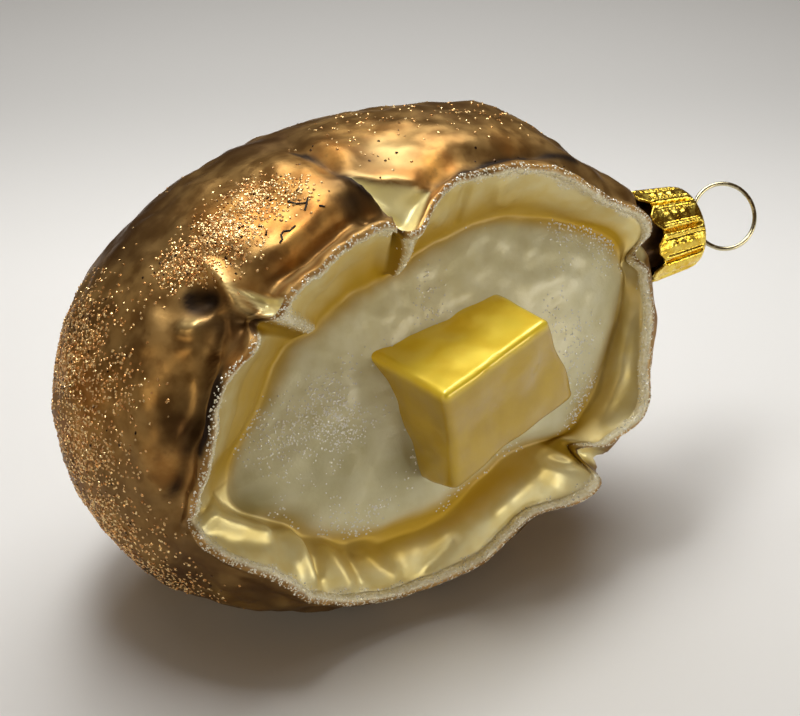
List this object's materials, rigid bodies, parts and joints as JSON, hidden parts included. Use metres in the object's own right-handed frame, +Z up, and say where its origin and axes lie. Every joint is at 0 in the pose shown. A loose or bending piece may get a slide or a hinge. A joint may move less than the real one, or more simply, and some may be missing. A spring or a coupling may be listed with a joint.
{
  "type": "baked potato glass ornament",
  "caption": "Blown-glass hanging ornament in the form of a baked potato, split open to pale flesh with a pat of butter, with a fluted metal cap and a wire hanging ring.",
  "frame": {"origin": "middle of the small flat spot that the potato rests on, level with the surface it lies on", "axes": "+X along the cap and neck, away from the potato; +Z up; the split side faces -Y and slightly up"},
  "size_m": [0.1162, 0.0591, 0.0681],
  "materials": {
    "glass": "satin bronze lacquer over silvered glass, with glitter",
    "cap_metal": "bright gold-coloured stamped foil",
    "wire": "bright drawn wire"
  },
  "bodies": {
    "root": {"glass_potato": "glass", "cap": "cap_metal", "hanger_ring": "wire"}
  },
  "joints": []
}
